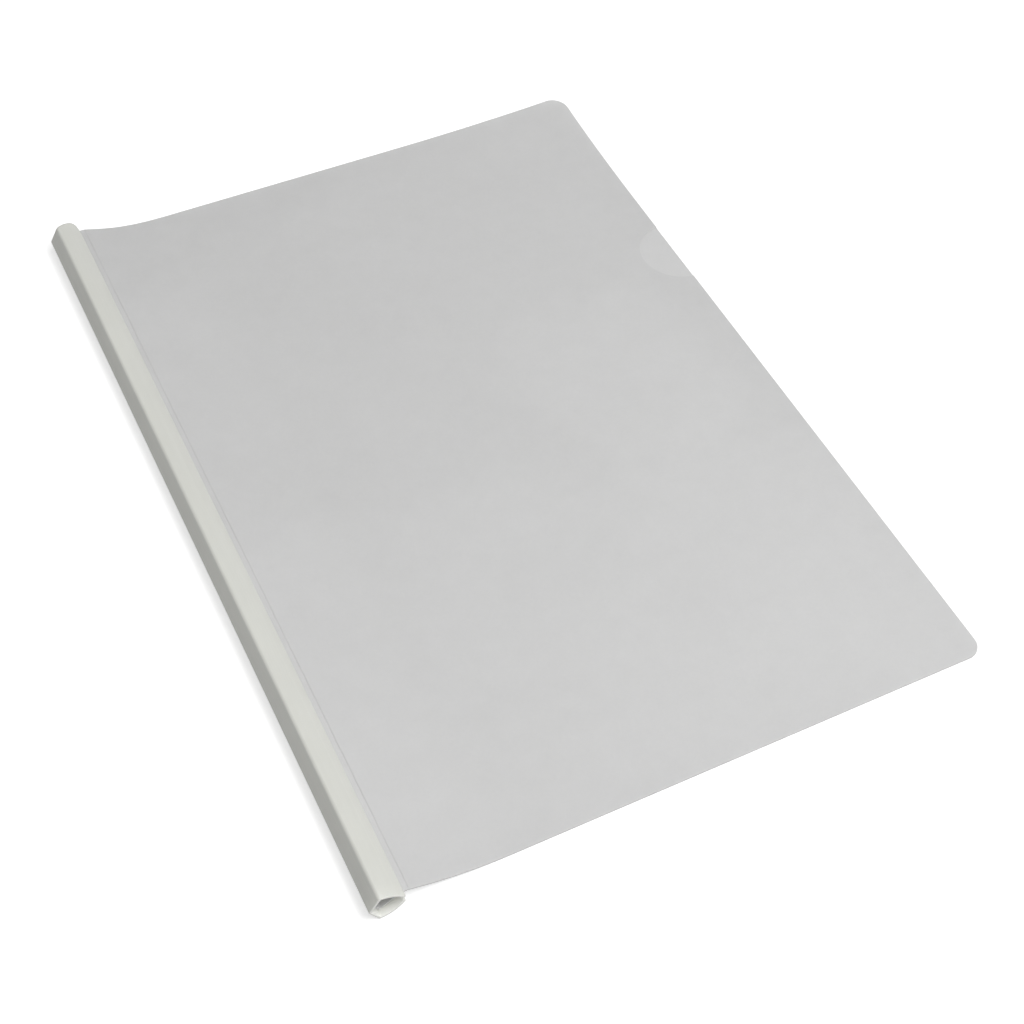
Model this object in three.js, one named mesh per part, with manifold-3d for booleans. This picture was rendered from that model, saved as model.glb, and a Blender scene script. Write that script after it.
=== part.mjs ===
// Clip folder: a folded polypropylene sheet (two covers and a spine fold) gripped by a slide-on spine bar.
// Millimetres, +Z up. X runs from the bar to the open edge, Y along the bar, Z up from the table.
import * as THREE from 'three';
import { mergeVertices } from 'three/addons/utils/BufferGeometryUtils.js';
import Module from 'manifold-3d';

const wasm = await Module();
wasm.setup();

// Spine bar
const barLength = 310;
const barHeight = 12.4;
const barDepth = 11.5; // from the ridge of its back to its lips
const barWall = 0.9;
const backLean = 3.3; // how far the back's top and bottom corners lie in front of its ridge
const flangeCrown = 0.8; // how far each flange bulges at its middle
const noseSetBack = 3; // the far end is trimmed to a nose: its back corner lies this far short of the tip
const noseTip = 9.9; // the tip's distance from the ridge of the back
const leadIn = 5; // the lips' corner lies this far short of the tip

// Covers
const sheet = 0.3;
const clearance = 0.3; // between faces that touch
const coverLength = 306;
const barOverhang = 2.2; // the bar's near end reaches this far past the covers
const openEdge = 219.3; // from the ridge of the bar's back to the covers' open edge
const cornerRadius = 7;
const creaseOffset = 2; // from the lips to the creases
const creaseSlot = 0.5; // the parted strip at the front cover's crease
const droopRun = 34; // from the creases to where the covers lie flat
const cornerLift = 2.3; // how far the front cover's far corner curls up
const liftSpan = 75; // how far that curl reaches along the far edge and along the open edge

// Thumb notch in the front cover's open edge
const notchRadius = 15;
const notchDepth = 13.4;
const notchFromFarEdge = 98.8;

// Fineness of the curves
const arcStep = Math.PI / 12;
const curveSteps = 12;
const flangeSteps = 4;
const droopSteps = 14;
const flatSteps = 9;
const lengthSteps = 16;

// Worked-out places
const middle = barHeight / 2;
const marginRise = clearance / 2; // from the mouth's middle to each gripped margin's inner face
const mouthGap = 2 * (marginRise + sheet + clearance);
const lipEnd = barDepth - barWall / 2;
const marginParting = lipEnd - barWall; // inside the bar, the margins part here
const crease = barDepth + creaseOffset;
const nearEdge = barOverhang;
const farEdge = nearEdge + coverLength;
const origin = new THREE.Vector3(openEdge / 2, barLength / 2, 0);

const v2 = (x, y) => new THREE.Vector2(x, y);

// The directions to the right of a polyline, before and after one of its points
function rightNormals(points, i) {
  const steps = [[i - 1, i], [i, i + 1]].filter(([a, b]) => a >= 0 && b < points.length);
  const normals = steps.map(([a, b]) => v2(points[b].y - points[a].y, points[a].x - points[b].x).normalize());
  return [normals[0], normals[normals.length - 1]];
}

// The line beside a polyline, at a distance to its right, with mitred corners
function beside(points, distance) {
  return points.map((point, i) => {
    const [before, after] = rightNormals(points, i);
    const mitre = before.clone().add(after).normalize();
    return point.clone().addScaledVector(mitre, distance / mitre.dot(before));
  });
}

// The line beside a polyline that turns left, at a distance to its right, with round corners
function roundBeside(points, distance) {
  return points.flatMap((point, i) => {
    const [before, after] = rightNormals(points, i);
    const turn = Math.atan2(before.cross(after), before.dot(after));
    const arcs = Math.ceil(turn / arcStep);
    return Array.from({ length: arcs + 1 }, (_, k) => {
      const normal = before.clone().rotateAround(v2(0, 0), arcs ? (turn * k) / arcs : 0);
      return point.clone().addScaledVector(normal, distance);
    });
  });
}

// A section drawn in X and Z, drawn out along +Y
function alongY(points, start, length, steps = 1) {
  const geometry = new THREE.ExtrudeGeometry(new THREE.Shape(points), {
    depth: length, steps, bevelEnabled: false,
  });
  geometry.rotateX(Math.PI / 2);
  geometry.translate(0, start + length, 0);
  return geometry;
}

// A plan outline drawn in X and Y, drawn up through the whole folder
function planPrism(shape) {
  const geometry = new THREE.ExtrudeGeometry(shape, {
    depth: barHeight * 2, bevelEnabled: false, curveSegments: curveSteps,
  });
  geometry.translate(0, 0, -middle);
  return geometry;
}

function toSolid(geometry) {
  const bare = geometry.clone();
  bare.deleteAttribute('normal');
  bare.deleteAttribute('uv');
  const merged = mergeVertices(bare, 1e-4);
  return new wasm.Manifold(new wasm.Mesh({
    numProp: 3,
    vertProperties: new Float32Array(merged.attributes.position.array),
    triVerts: new Uint32Array(merged.index.array),
  }));
}

function toGeometry(solid) {
  const mesh = solid.getMesh();
  const geometry = new THREE.BufferGeometry();
  geometry.setAttribute('position', new THREE.BufferAttribute(mesh.vertProperties, 3));
  geometry.setIndex(new THREE.BufferAttribute(mesh.triVerts, 1));
  geometry.computeVertexNormals();
  return geometry;
}

const mirrored = (point) => v2(point.x, barHeight - point.y);

// The bar's inner face in section: along the top flange to its corner
function innerFlange() {
  const lip = v2(lipEnd, middle + mouthGap / 2);
  const corner = v2(backLean + barWall / 2, barHeight - barWall);
  return Array.from({ length: flangeSteps + 1 }, (_, i) => {
    const share = i / flangeSteps;
    const crown = 4 * flangeCrown * share * (1 - share);
    return lip.clone().lerp(corner, share).add(v2(crown / 2, crown));
  });
}

// The whole inner face, from the top lip round the back to the bottom lip
function innerFace() {
  const flange = innerFlange();
  return [...flange, v2(barWall, middle), ...flange.map(mirrored).reverse()];
}

// The folded sheet's outer face inside the bar, from the top margin round the back to the bottom margin
function foldFace() {
  const inside = beside(innerFace(), -clearance);
  const corner = inside[flangeSteps];
  const ridge = inside[flangeSteps + 1];
  const parting = v2(marginParting, middle + marginRise + sheet);
  return [parting, corner, ridge, mirrored(corner), mirrored(parting)];
}

// A face that leaves the mouth at a crease, settles to a height and runs on past the open edge
function settlingFace(start, mouthHeight, restHeight) {
  const settled = crease + droopRun;
  const end = openEdge + cornerRadius;
  const droop = Array.from({ length: droopSteps }, (_, i) => {
    const left = 1 - i / droopSteps;
    return v2(settled - droopRun * left, restHeight + (mouthHeight - restHeight) * left ** 2);
  });
  droop[0].x = start;
  const flat = Array.from({ length: flatSteps + 1 }, (_, i) => (
    v2(settled + ((end - settled) * i) / flatSteps, restHeight)
  ));
  return [...droop, ...flat];
}

// A strip of a cover's section, longer than the cover at both ends
function coverStrip(points) {
  return alongY(points, nearEdge - cornerRadius, coverLength + 2 * cornerRadius, lengthSteps);
}

// The covers' plan, rounded at the open edge
function coverPlan() {
  const shape = new THREE.Shape();
  shape.moveTo(0, nearEdge);
  shape.lineTo(openEdge - cornerRadius, nearEdge);
  shape.absarc(openEdge - cornerRadius, nearEdge + cornerRadius, cornerRadius, -Math.PI / 2, 0);
  shape.absarc(openEdge - cornerRadius, farEdge - cornerRadius, cornerRadius, 0, Math.PI / 2);
  shape.lineTo(0, farEdge);
  return planPrism(shape);
}

// The thumb notch's round cutter
function notchPlan() {
  const shape = new THREE.Shape();
  const centre = v2(openEdge - notchDepth + notchRadius, farEdge - notchFromFarEdge);
  shape.absarc(centre.x, centre.y, notchRadius, 0, 2 * Math.PI);
  return planPrism(shape);
}

// The bar's plan: square at the near end, trimmed to a nose at the far end
function barPlan() {
  const shape = new THREE.Shape();
  const sideReach = v2(-barDepth, 2 * barDepth);
  shape.moveTo(sideReach.x, -barDepth);
  shape.lineTo(sideReach.y, -barDepth);
  shape.lineTo(sideReach.y, barLength - leadIn);
  shape.lineTo(barDepth, barLength - leadIn);
  shape.quadraticCurveTo(barDepth, barLength, noseTip, barLength);
  shape.quadraticCurveTo(noseTip - noseSetBack / 2, barLength, backLean, barLength - noseSetBack);
  shape.lineTo(sideReach.x, barLength - noseSetBack);
  return planPrism(shape);
}

function spineBar() {
  const inner = innerFace();
  const section = [...roundBeside(inner, barWall), ...inner.reverse()];
  return toGeometry(toSolid(alongY(section, 0, barLength)).intersect(toSolid(barPlan())));
}

// The back cover, the fold inside the bar and the front cover's gripped margin are one folded sheet
function backCover() {
  const outerFold = foldFace();
  const innerFold = beside(outerFold, -sheet).slice(1, 4);
  const upper = settlingFace(crease, middle - marginRise, sheet);
  const lower = beside(upper, sheet);
  const marginEnd = crease - creaseSlot / 2;
  const section = [
    v2(marginEnd, middle + marginRise + sheet),
    ...outerFold,
    ...lower,
    ...upper.reverse(),
    v2(marginParting, middle - marginRise),
    ...innerFold.reverse(),
    v2(marginParting, middle + marginRise),
    v2(marginEnd, middle + marginRise),
  ];
  return toGeometry(toSolid(coverStrip(section)).intersect(toSolid(coverPlan())));
}

// How far the front cover's far corner stands up at a place in the plan
function curl(x, y) {
  const across = Math.max(0, 1 + (x - openEdge) / liftSpan);
  const along = Math.max(0, 1 + (y - farEdge) / liftSpan);
  return cornerLift * (across * along) ** 2;
}

function frontCover() {
  const lower = settlingFace(crease + creaseSlot / 2, middle + marginRise, sheet + clearance);
  const upper = beside(lower, -sheet);
  const strip = coverStrip([...lower, ...upper.reverse()]);
  const places = strip.attributes.position;
  for (let i = 0; i < places.count; i += 1) {
    places.setZ(i, places.getZ(i) + curl(places.getX(i), places.getY(i)));
  }
  const trimmed = toSolid(strip).intersect(toSolid(coverPlan()));
  return toGeometry(trimmed.subtract(toSolid(notchPlan())));
}

function piece(name, geometry, color, roughness) {
  const material = new THREE.MeshStandardMaterial({ color, roughness, metalness: 0 });
  const mesh = new THREE.Mesh(geometry, material);
  mesh.name = name;
  mesh.position.copy(origin).negate();
  return mesh;
}

const folder = new THREE.Group();
folder.add(piece('spine_bar', spineBar(), 0xf2f2ea, 0.4));
folder.add(piece('back_cover', backCover(), 0xe2e4e5, 0.5));
folder.add(piece('front_cover', frontCover(), 0xe2e4e5, 0.5));

export default folder;
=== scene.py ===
"""An A4 clip folder: two frosted covers folded from one sheet, gripped by a slide-on bar."""
import math

import bpy
from mathutils import Matrix, Vector


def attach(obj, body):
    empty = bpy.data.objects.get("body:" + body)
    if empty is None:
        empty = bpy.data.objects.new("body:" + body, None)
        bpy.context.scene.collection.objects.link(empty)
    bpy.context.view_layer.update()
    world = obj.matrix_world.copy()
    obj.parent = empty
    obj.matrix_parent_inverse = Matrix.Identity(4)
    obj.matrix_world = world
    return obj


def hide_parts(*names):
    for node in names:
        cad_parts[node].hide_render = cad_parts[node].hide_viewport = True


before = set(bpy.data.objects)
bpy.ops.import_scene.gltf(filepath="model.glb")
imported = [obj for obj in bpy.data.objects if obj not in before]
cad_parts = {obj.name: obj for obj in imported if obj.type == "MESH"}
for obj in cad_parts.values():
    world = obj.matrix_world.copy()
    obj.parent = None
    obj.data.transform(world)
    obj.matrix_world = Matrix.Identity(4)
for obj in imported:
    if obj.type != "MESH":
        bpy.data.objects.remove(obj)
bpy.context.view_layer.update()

MM = 0.001

# The bar, in millimetres: X from the ridge of its back, Y from its near end, Z from the table
BAR_LENGTH = 310.0
BAR_HEIGHT = 12.4
BAR_DEPTH = 11.5  # from the ridge of its back to its lips
BAR_WALL = 0.9
BACK_LEAN = 3.3  # how far the back's top and bottom corners lie in front of its ridge
FLANGE_CROWN = 0.8  # how far each flange bulges at its middle
NOSE_SET_BACK = 3.0  # the far end's back corner lies this far short of the tip
NOSE_TIP = 9.9  # the tip's distance from the ridge of the back
LEAD_IN = 5.0  # the lips' corner lies this far short of the tip
INNER_RADIUS = 0.25  # of the bends inside the bar
LIP_ROUND = 0.35
RIM_ROUND = 0.14  # how far the ends' rims are rounded
NOSE_REGION = 14.0  # the far stretch whose cross sections lean towards the trimmed nose

# The covers
SHEET = 0.3
CLEARANCE = 0.3
COVER_LENGTH = 306.0
BAR_OVERHANG = 2.2  # the bar's near end reaches this far past the covers
OPEN_EDGE = 219.3  # from the ridge of the bar's back to the covers' open edge
NEAR_CORNER_RADIUS = 5.6
FAR_CORNER_RADIUS = 7.0
CREASE_OFFSET = 2.0  # from the lips to the creases
CREASE_SLOT = 0.014  # the parted strip at the front cover's crease
CREASE_DROP = 0.004  # each face turns inward by this much beside that strip
GROOVE_DEPTH = 0.045  # how far the crease is pressed down
GROOVE_HALF = 0.9  # half the width of that groove
DROOP_RUN = 34.0  # from the creases to where the covers lie flat
FOLD_RADIUS = 1.1
SHEET_GAP = 0.05  # between the two covers where they lie flat
EDGE_DROP = 0.08  # each face turns inward by this much at a cut edge
EDGE_INSETS = (1.2, 0.5, 0.09, 0.0)  # how far the last points lie from a cut edge
MARGIN_STEP = 0.05  # from where the solid's margins part to where the sheet bends
MARGIN_END = 0.4  # from the lower margin's last point to the crease

# How the front cover stands up: at its far open corner, along its far edge and in slight waves
CORNER_LIFT = 2.3
LIFT_SPAN = 75.0  # how far that lift reaches along both edges
FAR_EDGE_LIFT = 0.8
FAR_EDGE_SPAN = 45.0  # how far that lift reaches from the far edge
FAR_EDGE_START = 22.0  # it begins this far from the ridge of the bar's back
FAR_EDGE_RUN = 26.0  # and is full after this much more
WAVE_LIFT = 0.13
WAVE_SWING = 0.065
WAVE_START = 6.0  # the waves begin this far past the crease
WAVE_FADE = 40.0  # they grow over this much there and beside the near and far edges
WAVE_OPEN_FADE = 60.0  # and over this much beside the open edge
WAVE_SLANTS = (0.45, -0.35)
WAVE_PHASES = (0.6, 1.1, 0.4)
DIAGONAL_LENGTHS = (31.0, 47.0)  # millimetres for each radian
SLOW_LENGTHS = (58.0, 71.0)  # likewise

# The thumb notch
NOTCH_RADIUS = 15.0
NOTCH_DEPTH = 13.4
NOTCH_FROM_FAR_EDGE = 98.8
NOTCH_CLEAR = 0.4  # other rows of points keep this far from the notch
NOTCH_STEP = 0.01  # from the notch's ends to the full rows beside them

# Fineness of the curves
ARC_STEP = math.radians(7)
LEAST_TURN = 0.02  # in radians: a smaller turn stays a single mitre
FILLET_STEPS = 6
FLANGE_STEPS = 16
LIP_STEPS = 6
HALVINGS = 30  # in the search along the nose's curve
BODY_STEPS = 60
NOSE_STEPS = 9
CORNER_STEPS = 14
STRAIGHT_STEPS = 110
NOTCH_STEPS = 40
GROOVE_STEPS = 8
DROOP_STEPS = 30
FLAT_STEPS = 70
SHARP_ANGLE = math.radians(38)

# Worked-out places
MIDDLE = BAR_HEIGHT / 2
MARGIN_RISE = CLEARANCE / 2
MOUTH_GAP = 2 * (MARGIN_RISE + SHEET + CLEARANCE)
LIP_END = BAR_DEPTH - BAR_WALL / 2
MARGIN_PARTING = LIP_END - BAR_WALL
CREASE = BAR_DEPTH + CREASE_OFFSET
NEAR_EDGE = BAR_OVERHANG
FAR_EDGE = NEAR_EDGE + COVER_LENGTH
NOTCH_X = OPEN_EDGE - NOTCH_DEPTH + NOTCH_RADIUS
NOTCH_Y = FAR_EDGE - NOTCH_FROM_FAR_EDGE
ORIGIN = Vector((OPEN_EDGE / 2, BAR_LENGTH / 2, 0.0))

# The camera, fitted to the photo: degrees, metres and, for the focal length, pixels
CAMERA_ANGLES = (-28.21, 51.66, 2.73)  # azimuth, elevation and roll
CAMERA_PLACE = (-0.18558, -0.37188, 0.48283)
FOCAL_LENGTH = 1787.0
PHOTO_WIDTH = 1024.0
SENSOR_WIDTH = 36.0

# Colours, and how far light spreads under the skin, in metres
FRONT_COLOUR = (0.632, 0.632, 0.630)
# The back cover is painted lighter than the front, standing in for the light a single frosted layer
# lets through from the table.
BACK_COLOUR_PAINTED_LIGHTER = (0.670, 0.670, 0.668)
BAR_COLOUR = (0.665, 0.670, 0.628)
SCATTER_WEIGHT = 0.6
SHEET_SCATTER = 0.0012
BAR_SCATTER = 0.0016

# Zones of painted light and shade on the covers: the painted shade at a zone's start and end, whose
# places are in metres along a direction
NEAR_DIRECTION = (-0.243, -0.970, 0.0)
NEAR_ZONE = {"start": 0.020, "end": 0.038, "at_start": 0.990, "at_end": 1.018}
FAR_DIRECTION = (-0.25, 0.97, 0.0)
FAR_ZONE = {"start": 0.124, "end": 0.141, "at_start": 1.0, "at_end": 0.975}
BORDER_WANDER = 0.014  # how far the borders of these two zones wander to each side
SLOPE_ZONE = {"start": 0.006, "end": 0.030, "at_start": 0.970, "at_end": 1.0}
OPEN_SIDE_ZONE = {"start": 0.080, "end": 0.108, "at_start": 1.0, "at_end": 0.984}
NEAR_SIDE_ZONE = {"start": 0.130, "end": 0.150, "at_start": 1.0, "at_end": 0.984}

# The oval patch of painted light: its centre and half-axes in millimetres from the origin, the rest in
# shares of these
PATCH_CENTRE = (60.0, 6.0)
PATCH_HALF_AXES = (42.0, 48.0)
PATCH_ZONE = {"start": 0.80, "end": 1.10, "at_start": 1.026, "at_end": 1.0}
PATCH_WANDER = 0.24

# Surroundings, in metres and watts
FLOOR_COLOUR = (0.66, 0.66, 0.66, 1.0)
FLOOR_REACH = 6.0
FLOOR_HEIGHT = -0.00005  # just under the back cover, so that no two faces lie in one plane
FLOOR_GLOW = {"start": 0.5, "end": 2.5, "at_start": 0.58, "at_end": 0.80}
WORLD_STRENGTH = 0.328
WORLD_SEEN = 1.0
KEY_PLACE = (0.42, -0.60, 1.45)
KEY_SIZE = 1.0
KEY_ENERGY = 22.5


# Camera
def make_camera():
    azimuth, elevation, roll = (math.radians(angle) for angle in CAMERA_ANGLES)
    back = Vector((
        math.sin(azimuth) * math.cos(elevation),
        -math.cos(azimuth) * math.cos(elevation),
        math.sin(elevation),
    ))
    right = Vector((math.cos(azimuth), math.sin(azimuth), 0.0))
    up = back.cross(right)
    x_axis = right * math.cos(roll) + up * math.sin(roll)
    y_axis = up * math.cos(roll) - right * math.sin(roll)
    data = bpy.data.cameras.new("camera")
    data.sensor_fit = "AUTO"
    data.sensor_width = SENSOR_WIDTH
    data.lens = SENSOR_WIDTH * FOCAL_LENGTH / PHOTO_WIDTH
    data.clip_start = 0.01
    data.clip_end = 100.0
    camera = bpy.data.objects.new("camera", data)
    rotation = Matrix((x_axis, y_axis, back)).transposed().to_4x4()
    camera.matrix_world = Matrix.Translation(CAMERA_PLACE) @ rotation
    bpy.context.scene.collection.objects.link(camera)
    bpy.context.scene.camera = camera


# Sections
def right_normals(points, i):
    """The directions to the right of a polyline, before and after one of its points."""
    normals = []
    for a, b in ((i - 1, i), (i, i + 1)):
        if a >= 0 and b < len(points):
            step = points[b] - points[a]
            normals.append(Vector((step.y, -step.x)).normalized())
    return normals[0], normals[-1]


def beside(points, distance):
    """The line beside a polyline, at a distance to its right, with mitred corners."""
    out = []
    for i, point in enumerate(points):
        before, after = right_normals(points, i)
        mitre = (before + after).normalized()
        out.append(point + mitre * (distance / mitre.dot(before)))
    return out


def round_pairs(points, near, far):
    """Two matched lines beside a polyline that turns left, at two distances to its right."""
    pairs = []
    for i, point in enumerate(points):
        before, after = right_normals(points, i)
        turn = math.atan2(before.x * after.y - before.y * after.x, before.dot(after))
        arcs = max(0, math.ceil(turn / ARC_STEP)) if turn > LEAST_TURN else 0
        for k in range(arcs + 1):
            share = turn * k / arcs if arcs else turn / 2
            c, s = math.cos(share), math.sin(share)
            normal = Vector((before.x * c - before.y * s, before.x * s + before.y * c))
            pairs.append((point + normal * near, point + normal * far))
    return pairs


def filleted(points, radius):
    """A polyline with its inner corners rounded."""
    most_share = 0.45
    out = [points[0]]
    for a, b, c in zip(points, points[1:], points[2:]):
        u, v = (a - b).normalized(), (c - b).normalized()
        half = math.acos(max(-1.0, min(1.0, u.dot(v)))) / 2
        longest = min((a - b).length, (c - b).length) * most_share
        reach = min(radius / math.tan(half), longest)
        start, end = b + u * reach, b + v * reach
        for k in range(FILLET_STEPS + 1):
            t = k / FILLET_STEPS
            out.append(start * (1 - t) ** 2 + b * (2 * t * (1 - t)) + end * t * t)
    out.append(points[-1])
    return out


def inner_face():
    """The bar's inner face, from the top lip round the back to the bottom lip."""
    lip = Vector((LIP_END, MIDDLE + MOUTH_GAP / 2))
    corner = Vector((BACK_LEAN + BAR_WALL / 2, BAR_HEIGHT - BAR_WALL))
    flange = []
    for i in range(FLANGE_STEPS + 1):
        share = i / FLANGE_STEPS
        crown = 4 * FLANGE_CROWN * share * (1 - share)
        flange.append(lip.lerp(corner, share) + Vector((crown / 2, crown)))
    down = [Vector((p.x, BAR_HEIGHT - p.y)) for p in reversed(flange)]
    return flange + [Vector((BAR_WALL, MIDDLE))] + down


# Meshes
def make_object(name, verts, faces, marks):
    """A mesh object from places in millimetres, with a value at each point for each mark."""
    mesh = bpy.data.meshes.new(name)
    mesh.from_pydata([(Vector(v) - ORIGIN) * MM for v in verts], [], faces)
    mesh.validate()
    for key, values in marks.items():
        layer = mesh.attributes.new(key, "FLOAT", "POINT")
        layer.data.foreach_set("value", values)
    obj = bpy.data.objects.new(name, mesh)
    bpy.context.scene.collection.objects.link(obj)
    mesh.shade_smooth()
    mesh.set_sharp_from_angle(angle=SHARP_ANGLE)
    return obj


def bar_far_end(x):
    """How far the bar reaches along Y at a distance from its ridge."""
    if x <= BACK_LEAN:
        return BAR_LENGTH - NOSE_SET_BACK
    if x <= NOSE_TIP:
        bend = NOSE_TIP - NOSE_SET_BACK / 2
        lo, hi = 0.0, 1.0
        for _ in range(HALVINGS):
            t = (lo + hi) / 2
            at = (1 - t) ** 2 * NOSE_TIP + 2 * t * (1 - t) * bend + t * t * BACK_LEAN
            lo, hi = (t, hi) if at > x else (lo, t)
        return BAR_LENGTH - NOSE_SET_BACK * t * t
    t = math.sqrt(max(0.0, min(1.0, (BAR_DEPTH - x) / (BAR_DEPTH - NOSE_TIP))))
    return BAR_LENGTH - LEAD_IN * (1 - t) ** 2


def bar_section(shrink):
    """The bar's closed section, with the wall thinner by shrink on each face."""
    spine = beside(inner_face(), -INNER_RADIUS)
    spine[0] = spine[0] + (spine[1] - spine[0]).normalized() * LIP_ROUND
    spine[-1] = spine[-1] + (spine[-2] - spine[-1]).normalized() * LIP_ROUND
    pairs = round_pairs(spine, INNER_RADIUS + shrink, INNER_RADIUS + BAR_WALL - shrink)
    inner = [p[0] for p in pairs]
    outer = [p[1] for p in pairs]

    def lip(a, b, away):
        centre, half = (a + b) / 2, (b - a) / 2
        out = []
        for k in range(1, LIP_STEPS):
            angle = math.pi * k / LIP_STEPS
            swing = away * (LIP_ROUND - shrink) * math.sin(angle)
            out.append(centre - half * math.cos(angle) + swing)
        return out

    top_away = (spine[0] - spine[1]).normalized()
    low_away = (spine[-1] - spine[-2]).normalized()
    end = lip(outer[-1], inner[-1], low_away)
    start = lip(inner[0], outer[0], top_away)
    return outer + end + inner[::-1] + start, len(outer), len(end)


def bar_stations():
    """The bar's cross sections: place along Y, share of the nose's lean, set-back and shrink."""
    rim = [(0.0, RIM_ROUND), (RIM_ROUND * 0.3, RIM_ROUND * 0.35), (RIM_ROUND, 0.0)]
    nose_start = BAR_LENGTH - NOSE_REGION
    stations = [(y, 0.0, 0.0, shrink) for y, shrink in rim]
    for k in range(1, BODY_STEPS):
        y = RIM_ROUND + (nose_start - RIM_ROUND) * k / BODY_STEPS
        stations.append((y, 0.0, 0.0, 0.0))
    for k in range(NOSE_STEPS):
        stations.append((nose_start, k / NOSE_STEPS, 0.0, 0.0))
    for set_back, shrink in reversed(rim):
        stations.append((nose_start, 1.0, set_back, shrink))
    return stations


def make_bar():
    """The hollow bar, square at the near end and trimmed to a nose at the far end."""
    stations = bar_stations()
    verts, painted_rim_light, inside = [], [], []
    count = n_outer = n_lip = 0
    for y, share, set_back, shrink in stations:
        section, n_outer, n_lip = bar_section(shrink)
        count = len(section)
        for i, p in enumerate(section):
            end = bar_far_end(p.x) - set_back
            verts.append((p.x, y + (end - y) * share, p.y))
            # Painted highlight: the rounded rims at the bar's ends are marked to be painted lighter.
            painted_rim_light.append(1.0 if shrink > 0 else 0.0)
            # Painted light: the inner face is marked to be painted lighter, for light that shines
            # through the wall.
            inside.append(1.0 if 0 <= i - n_outer - n_lip < n_outer else 0.0)
    faces = []
    last = len(stations) - 1
    for j in range(last):
        for i in range(count):
            a, b = j * count + i, j * count + (i + 1) % count
            faces.append((a, a + count, b + count, b))
    outer = list(range(n_outer))
    last_inner = n_outer + n_lip + n_outer - 1
    inner = [last_inner - i for i in range(n_outer)]
    caps = [(outer[i], outer[i + 1], inner[i + 1], inner[i]) for i in range(n_outer - 1)]
    caps.append([n_outer - 1] + [n_outer + k for k in range(n_lip)] + [n_outer + n_lip])
    caps.append([last_inner] + [last_inner + 1 + k for k in range(n_lip)] + [0])
    for base, flip in ((0, False), (last * count, True)):
        for cap in caps:
            loop = [base + v for v in cap]
            faces.append(tuple(reversed(loop)) if flip else tuple(loop))
    return make_object("slide_bar", verts, faces, {"rim": painted_rim_light, "inside": inside})


def droop(x, mouth, rest):
    """The height of a sheet that leaves the mouth at the crease and settles to rest."""
    left = max(0.0, min(1.0, 1 - (x - CREASE) / DROOP_RUN))
    return rest + (mouth - rest) * left * left


def groove(x):
    """How far the sheet is pressed down beside the crease."""
    across = min(1.0, abs(x - CREASE) / GROOVE_HALF)
    return GROOVE_DEPTH * (0.5 + 0.5 * math.cos(math.pi * across))


def curl(x, y):
    """How far the front cover's far open corner stands up."""
    across = max(0.0, 1 + (x - OPEN_EDGE) / LIFT_SPAN)
    along = max(0.0, 1 + (y - FAR_EDGE) / LIFT_SPAN)
    return CORNER_LIFT * (across * along) ** 2


def far_bow(x, y):
    """The front cover's far edge stands a little off the back cover."""
    out = max(0.0, min(1.0, (x - FAR_EDGE_START) / FAR_EDGE_RUN))
    along = max(0.0, 1 + (y - FAR_EDGE) / FAR_EDGE_SPAN)
    return FAR_EDGE_LIFT * out * out * (3 - 2 * out) * along * along


def wave(x, y):
    """The front cover's slight undulation, never downward."""
    settle = max(0.0, min(1.0, (x - CREASE - WAVE_START) / WAVE_FADE))
    settle *= max(0.0, min(1.0, (y - NEAR_EDGE) / WAVE_FADE, (FAR_EDGE - y) / WAVE_FADE))
    u, v = WAVE_SLANTS[0] * x + y, x + WAVE_SLANTS[1] * y
    diagonal = math.sin(u / DIAGONAL_LENGTHS[0] + WAVE_PHASES[0]) * math.sin(v / DIAGONAL_LENGTHS[1])
    slow = math.sin(x / SLOW_LENGTHS[0] + WAVE_PHASES[1])
    slow *= math.sin(y / SLOW_LENGTHS[1] + WAVE_PHASES[2])
    open_side = max(0.0, min(1.0, (OPEN_EDGE - x) / WAVE_OPEN_FADE))
    return settle * open_side * (WAVE_LIFT + WAVE_SWING * diagonal + WAVE_SWING * slow)


def row_places(notch):
    """The places along Y of a cover's rows, closer together where its outline turns."""
    places = set()
    for k in range(CORNER_STEPS + 1):
        reach = 1 - math.cos(math.pi / 2 * k / CORNER_STEPS)
        places.add(round(NEAR_EDGE + NEAR_CORNER_RADIUS * reach, 4))
        places.add(round(FAR_EDGE - FAR_CORNER_RADIUS * reach, 4))
    edge_inset = EDGE_INSETS[-2]
    places.update((NEAR_EDGE + edge_inset, FAR_EDGE - edge_inset))
    low, high = NEAR_EDGE + NEAR_CORNER_RADIUS, FAR_EDGE - FAR_CORNER_RADIUS
    for k in range(1, STRAIGHT_STEPS):
        places.add(round(low + (high - low) * k / STRAIGHT_STEPS, 4))
    if notch:
        half = math.acos((NOTCH_X - OPEN_EDGE) / NOTCH_RADIUS)
        top = NOTCH_RADIUS * math.sin(half)
        places = {p for p in places if abs(p - NOTCH_Y) > top + NOTCH_CLEAR}
        for k in range(NOTCH_STEPS + 1):
            turn = half * (2 * k / NOTCH_STEPS - 1)
            places.add(NOTCH_Y + NOTCH_RADIUS * math.sin(turn))
        places.update((NOTCH_Y - top - NOTCH_STEP, NOTCH_Y + top + NOTCH_STEP))
    return sorted(places)


def open_edge_at(y, notch):
    """Where a row ends at the open edge."""
    edge = OPEN_EDGE
    corners = ((NEAR_CORNER_RADIUS, NEAR_EDGE - y), (FAR_CORNER_RADIUS, y - FAR_EDGE))
    for radius, past in corners:
        inward = max(0.0, radius + past)
        edge -= radius - math.sqrt(max(0.0, radius ** 2 - inward ** 2))
    if notch and abs(y - NOTCH_Y) < NOTCH_RADIUS:
        arc = NOTCH_X - math.sqrt(NOTCH_RADIUS ** 2 - (y - NOTCH_Y) ** 2)
        edge = min(edge, arc)
    return edge


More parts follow.
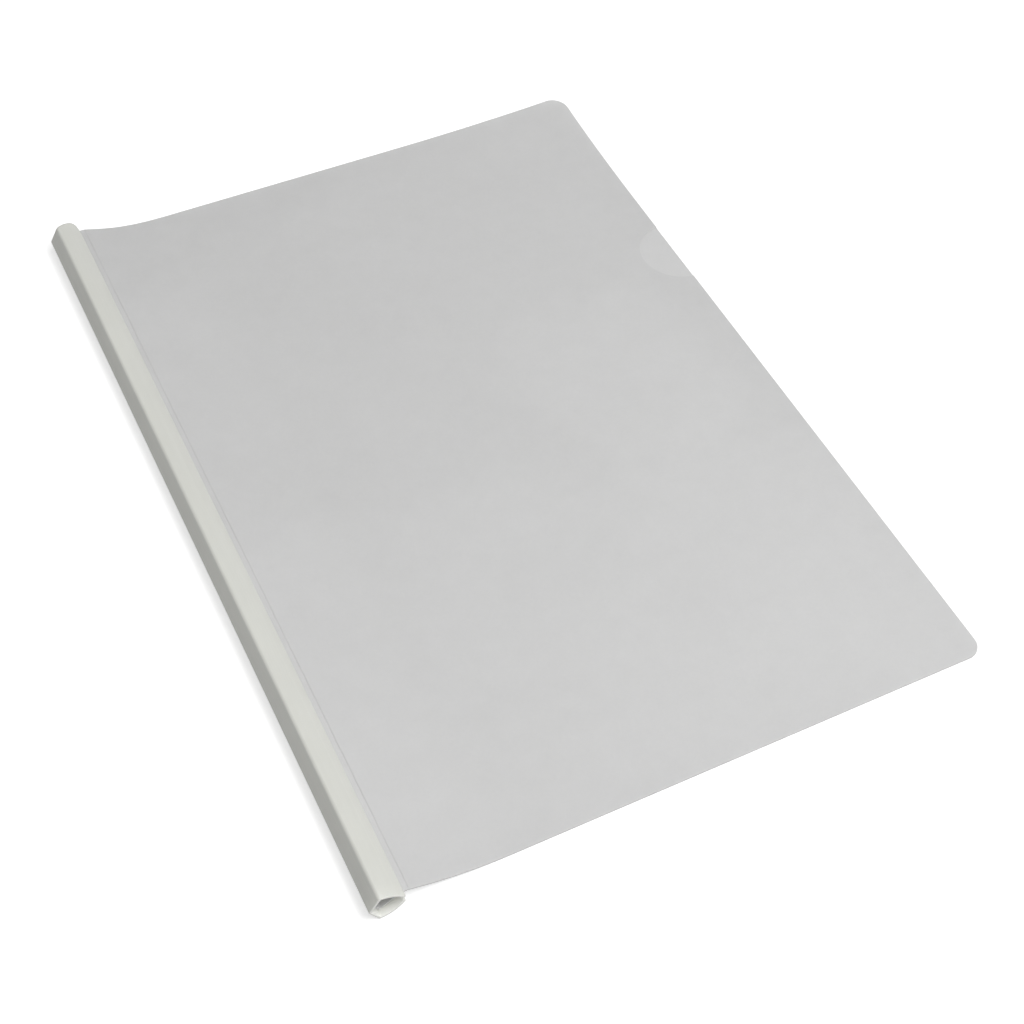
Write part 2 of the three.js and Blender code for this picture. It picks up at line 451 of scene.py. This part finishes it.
def sheet_centre(lead, start, mouth, rest, edge):
    """The middle line of a cover's section, in X and Z, from its lead to its cut edge."""
    settled = CREASE + DROOP_RUN
    growth = 1.5
    centre = list(lead)
    for k in range(DROOP_STEPS):
        x = start + (settled - start) * (k / DROOP_STEPS) ** growth
        centre.append(Vector((x, droop(x, mouth, rest))))
    for k in range(FLAT_STEPS):
        x = settled + (edge - EDGE_INSETS[0] - settled) * k / FLAT_STEPS
        centre.append(Vector((x, rest)))
    for inset in EDGE_INSETS:
        centre.append(Vector((edge - inset, rest)))
    return centre


def sheet_mesh(name, lead, start, mouth, rest, notch, lift):
    """A closed sheet: its section is lead before start, and from start it settles and lies flat."""
    rows = row_places(notch)
    last = len(rows) - 1
    least_mitre, beside_rim = 0.5, 0.6
    verts, painted_rim_light = [], []
    count = 0
    for j, y in enumerate(rows):
        centre = sheet_centre(lead, start, mouth, rest, open_edge_at(y, notch))
        count = len(centre)
        for i, p in enumerate(centre):
            before, after = right_normals(centre, i)
            mitre = (before + after).normalized()
            outermost = j in (0, last) or i == count - 1
            drop = CREASE_DROP if i == 0 else 0.0
            half = SHEET / 2 - (EDGE_DROP if outermost else drop)
            reach = half / max(least_mitre, mitre.dot(before))
            height = lift(p.x, y)
            if i == 0:
                mitre = Vector((0.0, -1.0 if p.x < centre[1].x else 1.0))
                reach = half
            a, b = p - mitre * reach, p + mitre * reach
            verts.append((a.x, y, a.y + height))
            verts.append((b.x, y, b.y + height))
            # Painted light: the cut edges, and at a lesser share the rows beside them, are marked to be
            # painted lighter.
            near_rim = min(j, last - j, count - 1 - i) <= 1
            rim = 1.0 if outermost else (beside_rim if near_rim else 0.0)
            painted_rim_light.extend((rim, rim))
    faces = []

    def v(j, i, side):
        return (j * count + i) * 2 + side

    end = count - 1
    for j in range(last):
        for i in range(end):
            faces.append((v(j, i, 0), v(j, i + 1, 0), v(j + 1, i + 1, 0), v(j + 1, i, 0)))
            faces.append((v(j, i, 1), v(j + 1, i, 1), v(j + 1, i + 1, 1), v(j, i + 1, 1)))
        faces.append((v(j, 0, 0), v(j + 1, 0, 0), v(j + 1, 0, 1), v(j, 0, 1)))
        faces.append((v(j, end, 0), v(j, end, 1), v(j + 1, end, 1), v(j + 1, end, 0)))
    for i in range(end):
        faces.append((v(0, i, 0), v(0, i, 1), v(0, i + 1, 1), v(0, i + 1, 0)))
        faces.append((v(last, i, 0), v(last, i + 1, 0), v(last, i + 1, 1), v(last, i, 1)))
    return make_object(name, verts, faces, {"rim": painted_rim_light})


def make_front_cover():
    """The front cover from its crease outward, with the thumb notch."""
    def lift(x, y):
        return curl(x, y) + far_bow(x, y) + wave(x, y) - groove(x)

    start = CREASE + CREASE_SLOT / 2
    mouth = MIDDLE + MARGIN_RISE + SHEET / 2
    rest = SHEET + SHEET_GAP + SHEET / 2
    return sheet_mesh("front_sheet", [], start, mouth, rest, True, lift)


def make_back_cover():
    """The back cover, the fold inside the bar and the front cover's gripped margin."""
    inside = beside(inner_face(), -CLEARANCE - SHEET / 2)
    corner = max(inside[: len(inside) // 2], key=lambda p: p.y)
    ridge = inside[len(inside) // 2]
    rise = MARGIN_RISE + SHEET / 2
    margin = []
    for k in range(GROOVE_STEPS):
        x = CREASE - CREASE_SLOT / 2 - GROOVE_HALF * k / (GROOVE_STEPS - 1)
        margin.append(Vector((x, MIDDLE + rise - groove(x))))
    fold = [
        margin[-1],
        Vector((MARGIN_PARTING + MARGIN_STEP, MIDDLE + rise)),
        corner,
        ridge,
        Vector((corner.x, BAR_HEIGHT - corner.y)),
        Vector((MARGIN_PARTING + MARGIN_STEP, MIDDLE - rise)),
        Vector((CREASE - MARGIN_END, MIDDLE - rise)),
    ]
    lead = margin[:-1] + filleted(fold, FOLD_RADIUS)
    mouth, rest = MIDDLE - rise, SHEET / 2
    return sheet_mesh("back_sheet", lead, CREASE, mouth, rest, False, lambda x, y: 0.0)


# Materials
class Nodes:
    """A small helper that adds linked nodes to a material."""

    def __init__(self, name):
        self.material = bpy.data.materials.new(name)
        self.material.use_nodes = True
        self.tree = self.material.node_tree
        self.tree.nodes.clear()
        self.coords = self.add("ShaderNodeTexCoord").outputs["Object"]

    def add(self, kind, **settings):
        node = self.tree.nodes.new(kind)
        for key, value in settings.items():
            setattr(node, key, value)
        return node

    def link(self, source, target):
        self.tree.links.new(source, target)

    def mapped(self, scale, turn=0.0):
        node = self.add("ShaderNodeMapping")
        node.inputs["Scale"].default_value = scale
        node.inputs["Rotation"].default_value = (0.0, 0.0, turn)
        self.link(self.coords, node.inputs["Vector"])
        return node.outputs["Vector"]

    def noise(self, vector, scale, detail, roughness, distortion=0.0):
        """Noise about 0.5, finer with a larger scale, which is counted for each metre."""
        node = self.add("ShaderNodeTexNoise")
        node.inputs["Scale"].default_value = scale
        node.inputs["Detail"].default_value = detail
        node.inputs["Roughness"].default_value = roughness
        node.inputs["Distortion"].default_value = distortion
        self.link(vector, node.inputs["Vector"])
        return node.outputs["Fac"]

    def spread(self, value, at_start, at_end, start=0.3, end=0.7):
        """What goes from one result to the other as a value goes from start to end."""
        node = self.add("ShaderNodeMapRange")
        node.inputs["From Min"].default_value = start
        node.inputs["From Max"].default_value = end
        node.inputs["To Min"].default_value = at_start
        node.inputs["To Max"].default_value = at_end
        self.link(value, node.inputs["Value"])
        return node.outputs["Result"]

    def math(self, operation, a, b):
        node = self.add("ShaderNodeMath", operation=operation)
        for socket, value in zip(node.inputs, (a, b)):
            if isinstance(value, (int, float)):
                socket.default_value = value
            else:
                self.link(value, socket)
        return node.outputs["Value"]

    def product(self, first, *others):
        for other in others:
            first = self.math("MULTIPLY", first, other)
        return first

    def length(self, vector):
        node = self.add("ShaderNodeVectorMath", operation="LENGTH")
        self.link(vector, node.inputs[0])
        return node.outputs["Value"]

    def along(self, direction):
        """How far a place lies in a direction, in metres from the origin."""
        node = self.add("ShaderNodeVectorMath", operation="DOT_PRODUCT")
        node.inputs[1].default_value = direction
        self.link(self.coords, node.inputs[0])
        return node.outputs["Value"]

    def tinted(self, colour, value):
        """A colour made lighter or darker by a value near 1."""
        node = self.add("ShaderNodeVectorMath", operation="SCALE")
        node.inputs[0].default_value = colour
        self.link(value, node.inputs["Scale"])
        return node.outputs["Vector"]

    def attribute(self, name):
        return self.add("ShaderNodeAttribute", attribute_name=name).outputs["Fac"]

    def bump(self, height, distance, normal=None):
        node = self.add("ShaderNodeBump")
        node.inputs["Distance"].default_value = distance
        node.inputs["Strength"].default_value = 1.0
        self.link(height, node.inputs["Height"])
        if normal is not None:
            self.link(normal, node.inputs["Normal"])
        return node.outputs["Normal"]

    def finish(self, colour, roughness, normal, scatter):
        """A Principled shader whose light spreads under the skin by scatter, in metres."""
        shader = self.add("ShaderNodeBsdfPrincipled")
        self.link(colour, shader.inputs["Base Color"])
        self.link(roughness, shader.inputs["Roughness"])
        self.link(normal, shader.inputs["Normal"])
        shader.inputs["Subsurface Weight"].default_value = SCATTER_WEIGHT
        shader.inputs["Subsurface Radius"].default_value = (1.0, 1.0, 1.0)
        shader.inputs["Subsurface Scale"].default_value = scatter
        output = self.add("ShaderNodeOutputMaterial")
        self.link(shader.outputs["BSDF"], output.inputs["Surface"])
        return self.material


def painted_light_patch(n):
    """Painted light: the sheets are painted a little lighter within an oval with an uneven border."""
    shares = [-centre / half for centre, half in zip(PATCH_CENTRE, PATCH_HALF_AXES)]
    scales = [1.0 / MM / half for half in PATCH_HALF_AXES]
    placed = n.add("ShaderNodeMapping")
    placed.inputs["Location"].default_value = (*shares, 0.0)
    placed.inputs["Scale"].default_value = (*scales, 0.0)
    n.link(n.coords, placed.inputs["Vector"])
    wander = n.noise(n.mapped((1.0, 1.0, 1.0), -0.7), 22.0, 4.0, 0.62)
    border = n.spread(wander, -PATCH_WANDER, PATCH_WANDER)
    reach = n.math("ADD", n.length(placed.outputs["Vector"]), border)
    return n.spread(reach, **PATCH_ZONE)


def painted_light_and_shade_zones(n):
    """Painted light and shade: lighter to the near side and in an oval, darker to the far side."""
    wander = n.noise(n.mapped((1.0, 1.0, 1.0), 0.3), 14.0, 4.0, 0.62)
    border = n.spread(wander, -BORDER_WANDER, BORDER_WANDER)
    near = n.spread(n.math("ADD", n.along(NEAR_DIRECTION), border), **NEAR_ZONE)
    far = n.spread(n.math("ADD", n.along(FAR_DIRECTION), border), **FAR_ZONE)
    return n.product(near, far, painted_light_patch(n))


def painted_slope_shade(n):
    """Painted shade: the sheets are painted a little darker where they slope down from the bar, well
    off the table.
    """
    from_crease = n.math("SUBTRACT", n.along((1.0, 0.0, 0.0)), (CREASE - ORIGIN.x) * MM)
    return n.spread(from_crease, **SLOPE_ZONE)


def painted_edge_shade(n):
    """Painted shade: a touch darker along the open edge and the near edge, where light leaves the
    sheets.
    """
    open_side = n.spread(n.along((1.0, 0.0, 0.0)), **OPEN_SIDE_ZONE)
    near_side = n.spread(n.along((0.0, -1.0, 0.0)), **NEAR_SIDE_ZONE)
    return n.product(open_side, near_side)


def frosted_sheet(name, colour):
    """Frosted polypropylene, cloudy at several scales; cut edges painted lighter, zones painted lighter
    and darker.
    """
    n = Nodes(name)
    cloud = n.spread(n.noise(n.mapped((1.0, 1.7, 1.0), 0.5), 17.0, 3.0, 0.55, 0.4), 0.988, 1.012)
    mottle = n.spread(n.noise(n.coords, 130.0, 3.0, 0.6), 0.989, 1.011)
    speckle = n.spread(n.noise(n.coords, 900.0, 2.0, 0.6), 0.992, 1.008)
    # Painted light: the cut edges are painted up to 3 per cent lighter, as if light glowed through
    # them.
    rim = n.spread(n.attribute("rim"), 1.0, 1.03, 0.0, 1.0)
    shade = n.math("MULTIPLY", n.product(cloud, mottle), n.product(speckle, rim))
    # Painted light and shade in zones of the covers, on top of their cloudy tone.
    shade = n.product(shade, painted_light_and_shade_zones(n), painted_slope_shade(n), painted_edge_shade(n))
    roughness = n.spread(n.noise(n.mapped((1.0, 2.2, 1.0), -0.4), 38.0, 3.0, 0.6), 0.43, 0.52)
    ripple = n.bump(n.noise(n.mapped((1.0, 1.6, 1.0), 0.5), 55.0, 2.0, 0.5), 0.00012)
    frost = n.bump(n.noise(n.coords, 3200.0, 2.0, 0.7), 0.000012, ripple)
    return n.finish(n.tinted(colour, shade), roughness, frost, SHEET_SCATTER)


def bar_plastic(name):
    """Extruded plastic with a satin skin and faint die lines, with painted light on its end rims and
    inner face.
    """
    n = Nodes(name)
    lengthwise = n.mapped((1.0, 0.004, 1.0))
    lines = n.noise(lengthwise, 1500.0, 3.0, 0.6)
    cloud = n.spread(n.noise(n.mapped((1.0, 0.5, 1.0)), 60.0, 2.0, 0.5), 0.985, 1.015)
    streak = n.spread(lines, 0.985, 1.012)
    # Painted highlight: the rounded rims at the bar's ends are painted up to 6 per cent lighter.
    rim = n.spread(n.attribute("rim"), 1.0, 1.06, 0.0, 1.0)
    # Painted light: the inner face is painted up to 32 per cent lighter, for light that shines through
    # the wall.
    inside = n.spread(n.attribute("inside"), 1.0, 1.32, 0.0, 1.0)
    shade = n.math("MULTIPLY", n.product(cloud, streak), n.product(rim, inside))
    roughness = n.spread(n.noise(lengthwise, 900.0, 2.0, 0.5), 0.30, 0.42)
    drawn = n.bump(lines, 0.00002)
    skin = n.bump(n.noise(n.coords, 2400.0, 2.0, 0.6), 0.000006, drawn)
    return n.finish(n.tinted(BAR_COLOUR, shade), roughness, skin, BAR_SCATTER)


# Surroundings
def floor_paint():
    """A pale floor that glows for the camera only, more with distance, and keeps the shadow."""
    n = Nodes("floor")
    paint = n.add("ShaderNodeBsdfDiffuse")
    paint.inputs["Color"].default_value = FLOOR_COLOUR
    lift = n.spread(n.length(n.coords), **FLOOR_GLOW)
    path = n.add("ShaderNodeLightPath")
    glow = n.add("ShaderNodeEmission")
    n.link(n.product(path.outputs["Is Camera Ray"], lift), glow.inputs["Strength"])
    both = n.add("ShaderNodeAddShader")
    n.link(paint.outputs["BSDF"], both.inputs[0])
    n.link(glow.outputs["Emission"], both.inputs[1])
    output = n.add("ShaderNodeOutputMaterial")
    n.link(both.outputs["Shader"], output.inputs["Surface"])
    return n.material


def make_floor():
    corners = [(-1, -1), (1, -1), (1, 1), (-1, 1)]
    verts = [(x * FLOOR_REACH, y * FLOOR_REACH, FLOOR_HEIGHT) for x, y in corners]
    mesh = bpy.data.meshes.new("floor")
    mesh.from_pydata(verts, [], [(0, 1, 2, 3)])
    floor = bpy.data.objects.new("floor", mesh)
    bpy.context.scene.collection.objects.link(floor)
    mesh.materials.append(floor_paint())


def make_world():
    """A dim white sky that the camera alone sees at full white."""
    world = bpy.data.worlds.new("world")
    bpy.context.scene.world = world
    world.use_nodes = True
    tree = world.node_tree
    tree.nodes.clear()
    path = tree.nodes.new("ShaderNodeLightPath")
    strength = tree.nodes.new("ShaderNodeMapRange")
    strength.inputs["To Min"].default_value = WORLD_STRENGTH
    strength.inputs["To Max"].default_value = WORLD_SEEN
    tree.links.new(path.outputs["Is Camera Ray"], strength.inputs["Value"])
    background = tree.nodes.new("ShaderNodeBackground")
    background.inputs["Color"].default_value = (1.0, 1.0, 1.0, 1.0)
    tree.links.new(strength.outputs["Result"], background.inputs["Strength"])
    output = tree.nodes.new("ShaderNodeOutputWorld")
    tree.links.new(background.outputs["Background"], output.inputs["Surface"])


def make_key_light():
    """One square light that faces the origin."""
    data = bpy.data.lights.new("key", "AREA")
    data.shape = "SQUARE"
    data.size = KEY_SIZE
    data.energy = KEY_ENERGY
    light = bpy.data.objects.new("key", data)
    light.location = KEY_PLACE
    aim = -Vector(KEY_PLACE)
    light.rotation_mode = "QUATERNION"
    light.rotation_quaternion = aim.to_track_quat("-Z", "Y")
    bpy.context.scene.collection.objects.link(light)


make_camera()
make_floor()
make_world()
make_key_light()

bar = make_bar()
front = make_front_cover()
back = make_back_cover()

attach(bar, "spine_bar")
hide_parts("spine_bar")
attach(front, "front_cover")
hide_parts("front_cover")
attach(back, "covers")
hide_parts("back_cover")

bar.data.materials.append(bar_plastic("bar_plastic"))
front.data.materials.append(frosted_sheet("frosted_front", FRONT_COLOUR))
back.data.materials.append(frosted_sheet("frosted_back", BACK_COLOUR_PAINTED_LIGHTER))

bpy.context.scene.view_settings.view_transform = "Standard"
